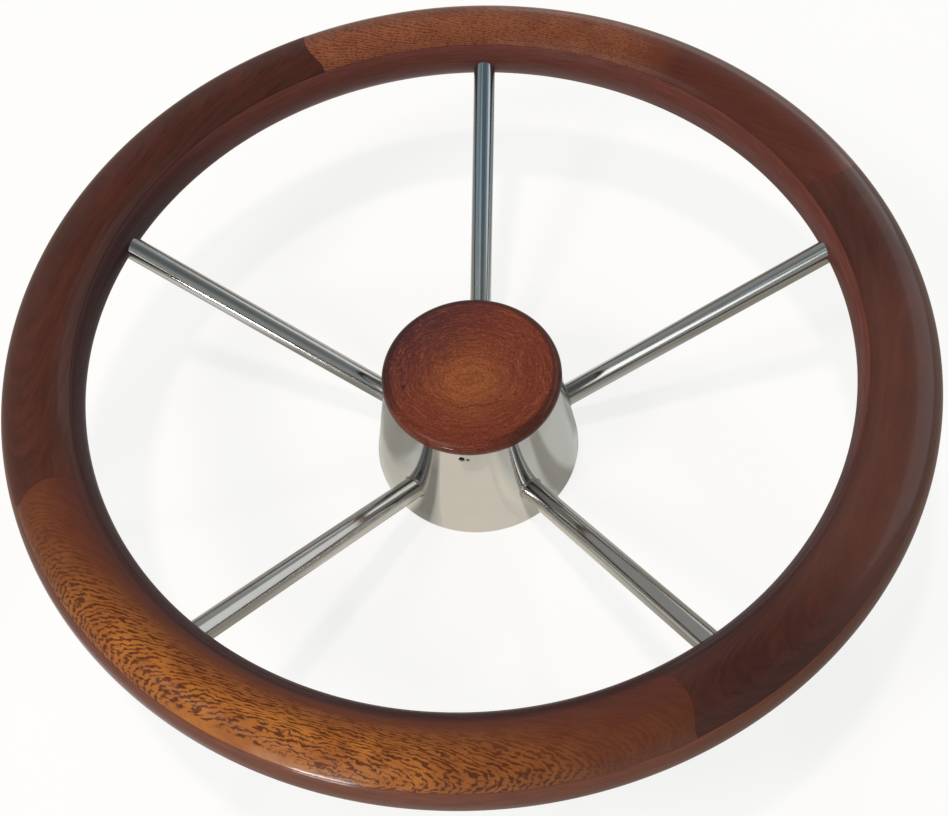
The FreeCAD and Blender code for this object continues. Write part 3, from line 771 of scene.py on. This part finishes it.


# Centre cap
# A disc of the same hardwood, turned with a rounded front edge and a spigot that drops into the cone,
# then stained and varnished. Rings run round its paler heart. Its rounded edge is painted dark as
# painted shade and reflection, less on the lower left, and its upper left has a purple painted
# reflection.
CAP_RADIUS = 40.4
CAP_FACE_HEIGHT = 64.8
CAP_BACK_HEIGHT = 59.6
CAP_ROUND = 4.0
CAP_UNDER = 0.4
SPIGOT_RADIUS = 36.42
SPIGOT_BACK_HEIGHT = 51.6
SPIGOT_EDGE = 0.5
CAP_STEPS = 360
CAP_HEART = (-1.0, -5.0, CAP_FACE_HEIGHT)
CAP_KNOT = (-29.6, -9.0, CAP_FACE_HEIGHT)
HAZE_REFLECTION_SIDE = (-0.76, 0.65, 0.0)
EDGE_SHADE_FADE_SIDE = (-0.34, -0.94, 0.0)

cap_outline = [(0.0, CAP_FACE_HEIGHT)]
cap_outline += [(CAP_RADIUS * share, CAP_FACE_HEIGHT) for share in (0.15, 0.3, 0.45, 0.6, 0.75)]
cap_outline += bend(CAP_RADIUS - CAP_ROUND, CAP_FACE_HEIGHT - CAP_ROUND, CAP_ROUND, 90, 0, 16)
cap_outline += bend(CAP_RADIUS - CAP_UNDER, CAP_BACK_HEIGHT + CAP_UNDER, CAP_UNDER, 0, -90, 6)
cap_outline += [(SPIGOT_RADIUS, CAP_BACK_HEIGHT), (SPIGOT_RADIUS, SPIGOT_BACK_HEIGHT + SPIGOT_EDGE)]
cap_outline += [(SPIGOT_RADIUS - SPIGOT_EDGE, SPIGOT_BACK_HEIGHT), (0.0, SPIGOT_BACK_HEIGHT)]
cap_shell = bmesh.new()
weave(cap_shell, turned_rows(cap_outline, CAP_STEPS), closed_columns=False)
bmesh.ops.remove_doubles(cap_shell, verts=cap_shell.verts, dist=0.001)
cap = make_piece("centre_cap_wood", cap_shell)

cap_wood = varnished("cap_wood_varnished")
cap_place = cap_wood.place()
cap_radius = cap_wood.radius(cap_place)
cap_wander = cap_wood.cloud(cap_place, size=9.0, detail=3.0)
from_heart = cap_wood.add("VectorMath", cap_place, CAP_HEART, operation="SUBTRACT")
heart_distance = cap_wood.length(from_heart)
ring_place = cap_wood.add("VectorMath", from_heart, (0.72, 1.1, 0.3), operation="MULTIPLY")
ring_distance = cap_wood.sum(
    "ADD", cap_wood.length(ring_place), cap_wood.stretch(cap_wander, 0.0, 1.0, -5.0, 5.0)
)
cap_rings = cap_wood.rings(ring_distance, count=0.5, detail=3.0)
cap_grit = cap_wood.cloud(cap_place, size=0.9, detail=3.0, rough=0.6)
cap_grain = cap_wood.cloud(
    cap_wood.add("CombineXYZ", cap_wood.sum("MULTIPLY", ring_distance, 1.5), cap_radius, cap_wander),
    size=1.3, detail=4.0, rough=0.7, twist=1.4,
)
lathe_rings = cap_wood.rings(cap_radius, count=1.1, detail=2.0)
heart_share = cap_wood.course(heart_distance, (0, 0.0), (7, 0.1), (18, 0.75), (28, 1.0))
cap_colour = cap_wood.mix(heart_share, tone(159, 89, 46), tone(117, 51, 33))
# The upper left of the face is painted dusky purple: a painted reflection.
painted_haze_share = cap_wood.stretch(cap_wood.reach(cap_place, HAZE_REFLECTION_SIDE), 6.0, 34.0, 0.0, 0.95)
cap_colour = cap_wood.mix(painted_haze_share, cap_colour, tone(62, 33, 44))
for pattern, low, high, share, colour in [
    (cap_rings, 0.42, 0.62, 0.42, tone(82, 34, 20)),
    (cap_grit, 0.42, 0.6, 0.6, tone(78, 32, 22)),
    (cap_grain, 0.5, 0.66, 0.36, tone(178, 106, 66)),
]:
    cap_colour = cap_wood.mix(cap_wood.stretch(pattern, low, high, 0.0, share), cap_colour, colour)
# A dark ring along the rounded edge is painted shade and reflection, faded on the lower left.
painted_edge_shade = cap_wood.course(cap_radius, (35.8, 0.0), (36.9, 0.6), (38.6, 0.7), (40.2, 0.45))
edge_shade_kept = cap_wood.stretch(cap_wood.reach(cap_place, EDGE_SHADE_FADE_SIDE), 22.0, 33.0, 1.0, 0.15)
painted_edge_shade = cap_wood.sum("MULTIPLY", painted_edge_shade, edge_shade_kept)
cap_colour = cap_wood.mix(painted_edge_shade, cap_colour, tone(42, 18, 14))
knot_share = cap_wood.stretch(cap_wood.distance(cap_place, CAP_KNOT), 0.4, 1.5, 0.75, 0.0)
cap_colour = cap_wood.mix(knot_share, cap_colour, tone(40, 16, 18))
cap_wood.finish_with(
    Base_Color=cap_colour,
    Roughness=cap_wood.stretch(cap_grain, 0.3, 0.7, 0.44, 0.56),
    Coat_Normal=cap_wood.relief(lathe_rings, depth=0.02),
)
cap.data.materials.append(cap_wood.material)
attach(cap, "root")
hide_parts("centre_cap")


# Cap screw
# A small socket grub screw, black with grease, that holds the cap through the hole in the cone.
grub_steel = Finish("grub_screw_steel", Metallic=1.0)
grub_cloud = grub_steel.cloud(grub_steel.place(), size=0.8, detail=3.0)
grub_steel.finish_with(
    Base_Color=grub_steel.mix(grub_cloud, tone(38, 34, 32), tone(70, 66, 62)),
    Roughness=grub_steel.stretch(grub_cloud, 0.3, 0.7, 0.3, 0.5),
    Normal=grub_steel.relief(grub_cloud, depth=0.01),
)
wear("cap_set_screw", grub_steel)


# Floor
# A smooth pale floor that the hub stands on. The camera sees it nearly white, with the wheel's shadow.
# The steel sees it painted instead: cream in front of the hub and grey elsewhere, with painted
# shadows under the bars and painted patches of daylight.
FLOOR_HALF = 6.0
FLOOR_DROP = 0.0003
FLOOR_GLOW_SHARE = 0.8
GREY_FROM = 80.0
GREY_TO = 140.0
STRIP_MIDDLE = -8.0
STRIP_HALF = 40.0
STRIP_SOFT = 12.0
PATCH_SOFT = 2.5
SOFT_PATCH_HALF = 30
floor_mesh = bpy.data.meshes.new("floor")
floor_signs = ((-1, -1), (1, -1), (1, 1), (-1, 1))
floor_corners = [(x * FLOOR_HALF, y * FLOOR_HALF, -FLOOR_DROP) for x, y in floor_signs]
floor_mesh.from_pydata(floor_corners, [], [(0, 1, 2, 3)])
floor = bpy.data.objects.new("floor", floor_mesh)
bpy.context.scene.collection.objects.link(floor)
floor_paint = Finish("floor_paint", Roughness=0.7)
floor_cloud = floor_paint.cloud(floor_paint.place(), size=60.0, detail=3.0)
floor_paint.finish_with(
    Base_Color=floor_paint.mix(floor_cloud, tone(248, 243, 232), tone(251, 247, 237)),
    Normal=floor_paint.relief(floor_cloud, depth=0.05),
)
camera_sees = floor_paint.add("LightPath", outlet=0)
steel_sees = floor_paint.add("LightPath", outlet=5)
floor_glow = floor_paint.add("Emission", (1.0, 1.0, 1.0, 1.0), 1.0)
floor_place = floor_paint.place()


def floor_patch(x, y, turn, half_long, half_broad, share):
    """A painted patch of light or shadow on the floor as the steel sees it, its long side turned this many
    degrees. Long sides fade out more softly.
    """
    turn = math.radians(turn)
    ways = ((math.cos(turn), math.sin(turn)), (-math.sin(turn), math.cos(turn)))
    sides = []
    for (way_x, way_y), half in zip(ways, (half_long, half_broad)):
        line = (way_x / half, way_y / half, 0.0)
        reach = floor_paint.reach(floor_place, line)
        reach = floor_paint.sum("ABSOLUTE", floor_paint.sum("SUBTRACT", reach, x * line[0] + y * line[1]))
        soft = min(0.5, PATCH_SOFT / half) if half < SOFT_PATCH_HALF else 0.5
        sides.append(floor_paint.stretch(reach, 1 - soft, 1 + soft, share, 0.0))
    return floor_paint.sum("MINIMUM", *sides)


strip_across = floor_paint.sum("SUBTRACT", floor_paint.part(floor_place, "x"), STRIP_MIDDLE)
strip_across = floor_paint.sum("ABSOLUTE", strip_across)
# Farther out and off the front strip, the floor is painted grey as the steel sees it: painted shade.
far_out = floor_paint.stretch(floor_paint.radius(floor_place), GREY_FROM, GREY_TO)
mirrored_colour = floor_paint.mix(far_out, tone(203, 205, 203), tone(158, 152, 143))
mirrored_share = floor_paint.sum(
    "MAXIMUM",
    floor_paint.stretch(floor_paint.radius(floor_place), GREY_FROM, GREY_TO, 0.0, 0.75),
    floor_paint.stretch(strip_across, STRIP_HALF, STRIP_HALF + STRIP_SOFT, 0.0, 0.85),
)
painted_cream_light = tone(237, 230, 218)
shade = tone(140, 139, 133)
painted_daylight = (1.0, 1.0, 1.0, 1.0)
# Each row is a painted patch: x, y, turn, half_long, half_broad, share and colour. Cream and daylight  are
# painted light, and shade is painted shadow.
for x, y, turn, half_long, half_broad, share, colour in [
    (-21, -76, 226, 29, 18, 1.0, painted_cream_light),
    (7, -68, 0, 18, 24, 1.0, painted_cream_light),
    (-37, -57, 234, 30, 6.0, 0.95, shade),
    (61, -31, -28.5, 27, 8.5, 0.85, shade),
    (-80, -22, 254, 50, 18, 0.8, shade),
    (56, 28, 60, 22, 9, 0.6, shade),
    (-85, 5, 170, 40, 30, 0.8, shade),
    (-190, -90, 95, 110, 50, 1.0, painted_daylight),
    (15, 115, 100, 60, 45, 1.0, painted_daylight),
    (-75, 250, 118, 170, 60, 1.0, painted_daylight),
]:
    patch = floor_patch(x, y, turn, half_long, half_broad, share)
    mirrored_colour = floor_paint.mix(patch, mirrored_colour, colour)
    mirrored_share = floor_paint.sum("MAXIMUM", mirrored_share, patch)
mirrored_glow = floor_paint.add("Emission", mirrored_colour, 1.0)
mirrored_share = floor_paint.sum("MULTIPLY", steel_sees, mirrored_share)
floor_seen = floor_paint.add("MixShader", mirrored_share, floor_paint.shader.outputs[0], mirrored_glow)
glow_share = floor_paint.sum("MULTIPLY", camera_sees, FLOOR_GLOW_SHARE)
floor_out = floor_paint.add("MixShader", glow_share, floor_seen, floor_glow)
floor_paint.tree.links.new(floor_out, floor_paint.tree.nodes["Material Output"].inputs["Surface"])
floor_mesh.materials.append(floor_paint.material)


# Light
# Three small lamps, overhead, in front on the left and behind, shed light and cast the shadows. Four
# windows, a patch of ceiling and a low lamp show in the steel and the varnish, in a plain grey room
# that the camera sees as white.
LAMP_AIM = Vector((0, 0, 0.06))
WHITE_LIGHT = (1.0, 1.0, 1.0)
PALE_BLUE_LIGHT = (0.97, 0.99, 1.0)


def lamp(name, turn, height, distance, size, power, colour=WHITE_LIGHT, size_up=None, glints=True):
    """An area lamp aimed at the wheel, from a direction in degrees. Without glints it only sheds light."""
    light = bpy.data.lights.new(name, "AREA")
    light.energy = power
    light.size = size
    light.color = colour
    if size_up:
        light.shape = "RECTANGLE"
        light.size_y = size_up
    turn = math.radians(turn)
    height = math.radians(height)
    level = math.cos(height)
    direction = Vector((math.cos(turn) * level, math.sin(turn) * level, math.sin(height)))
    holder = bpy.data.objects.new(name, light)
    holder.location = LAMP_AIM + direction * distance
    holder.rotation_euler = direction.to_track_quat("Z", "Y").to_euler()
    holder.visible_camera = False
    holder.visible_glossy = glints
    bpy.context.scene.collection.objects.link(holder)


lamp("lamp_overhead", turn=180, height=83, distance=2.0, size=0.16, power=14.0, colour=(1.0, 0.95, 0.88),
     glints=False)
lamp("lamp_front_left", turn=212, height=50, distance=2.2, size=0.4, power=12.0, colour=(1.0, 0.97, 0.93),
     glints=False)
lamp("lamp_behind", turn=74, height=36, distance=2.2, size=0.2, power=7.0, colour=(0.92, 0.97, 1.0),
     glints=False)
lamp("window_right", turn=28, height=24, distance=1.8, size=1.9, size_up=1.2, power=4.6,
     colour=PALE_BLUE_LIGHT)
lamp("window_left", turn=230, height=43, distance=1.8, size=1.3, size_up=0.6, power=3.9)
lamp("window_back", turn=68, height=10, distance=1.8, size=1.6, size_up=0.5, power=1.4,
     colour=PALE_BLUE_LIGHT)
lamp("window_front", turn=243, height=13, distance=1.8, size=0.6, size_up=0.8, power=2.0)
lamp("ceiling_light", turn=222, height=68, distance=1.8, size=0.8, size_up=0.5, power=0.5,
     colour=(0.82, 0.96, 1.0))
lamp("low_lamp", turn=247, height=0.8, distance=1.2, size=0.2, size_up=0.1, power=1.3)

room = bpy.data.worlds.new("room")
room.use_nodes = True
bpy.context.scene.world = room
room_nodes = room.node_tree.nodes
room_links = room.node_tree.links


def room_node(kind, **inputs):
    """A node of the room's light, with its inlets set or joined by name."""
    node = room_nodes.new("ShaderNode" + kind)
    for name, value in inputs.items():
        inlet = node.inputs[name.replace("_", " ")]
        if isinstance(value, bpy.types.NodeSocket):
            room_links.new(value, inlet)
        else:
            inlet.default_value = value
    return node


room_direction = room_node("TexCoord").outputs["Generated"]
room_height = room_node("SeparateXYZ", Vector=room_direction).outputs["Z"]
room_ramp = room_node("ValToRGB", Fac=room_height)
ROOM_BY_HEIGHT = [
    (0.0, (0.36, 0.36, 0.35, 1)),
    (0.7, (0.36, 0.38, 0.39, 1)),
    (0.88, (0.15, 0.17, 0.18, 1)),
    (1.0, (0.15, 0.17, 0.18, 1)),
]
for _ in ROOM_BY_HEIGHT[2:]:
    room_ramp.color_ramp.elements.new(0.5)
for element, (height, shade) in zip(room_ramp.color_ramp.elements, ROOM_BY_HEIGHT):
    element.position = height
    element.color = shade
room_light = room_node("Background", Color=room_ramp.outputs["Color"], Strength=1.0)
white_room = room_node("Background", Color=(0.98, 0.98, 0.98, 1.0), Strength=1.0)
room_path = room_node("LightPath")
room_mix = room_node("MixShader", Fac=room_path.outputs["Is Camera Ray"])
room_links.new(room_light.outputs["Background"], room_mix.inputs[1])
room_links.new(white_room.outputs["Background"], room_mix.inputs[2])
room_links.new(room_mix.outputs["Shader"], room_nodes["World Output"].inputs["Surface"])
bpy.context.scene.view_settings.view_transform = "Standard"


# Camera
# It looks down at the wheel from the front, a little from the right and leaning a few degrees, as the
# photograph does.
EYE = Vector((0.0399, -0.30425, 0.54231))
EYE_BACK = Vector((0.05234, -0.52498, 0.8495)).normalized()
EYE_LEAN = math.radians(-4.1797)
LENS = 48.508
SIDE_SHIFT = -0.0211
UP_SHIFT = -0.0211
level = Vector((0, 0, 1)).cross(EYE_BACK).normalized()
upright = EYE_BACK.cross(level)
eye_right = level * math.cos(EYE_LEAN) + upright * math.sin(EYE_LEAN)
eye_up = upright * math.cos(EYE_LEAN) - level * math.sin(EYE_LEAN)
camera_data = bpy.data.cameras.new("camera")
camera_data.lens = LENS
camera_data.shift_x = SIDE_SHIFT
camera_data.shift_y = UP_SHIFT
camera = bpy.data.objects.new("camera", camera_data)
turn_matrix = Matrix((eye_right, eye_up, EYE_BACK)).transposed().to_4x4()
camera.matrix_world = Matrix.Translation(EYE) @ turn_matrix
bpy.context.scene.collection.objects.link(camera)
bpy.context.scene.camera = camera
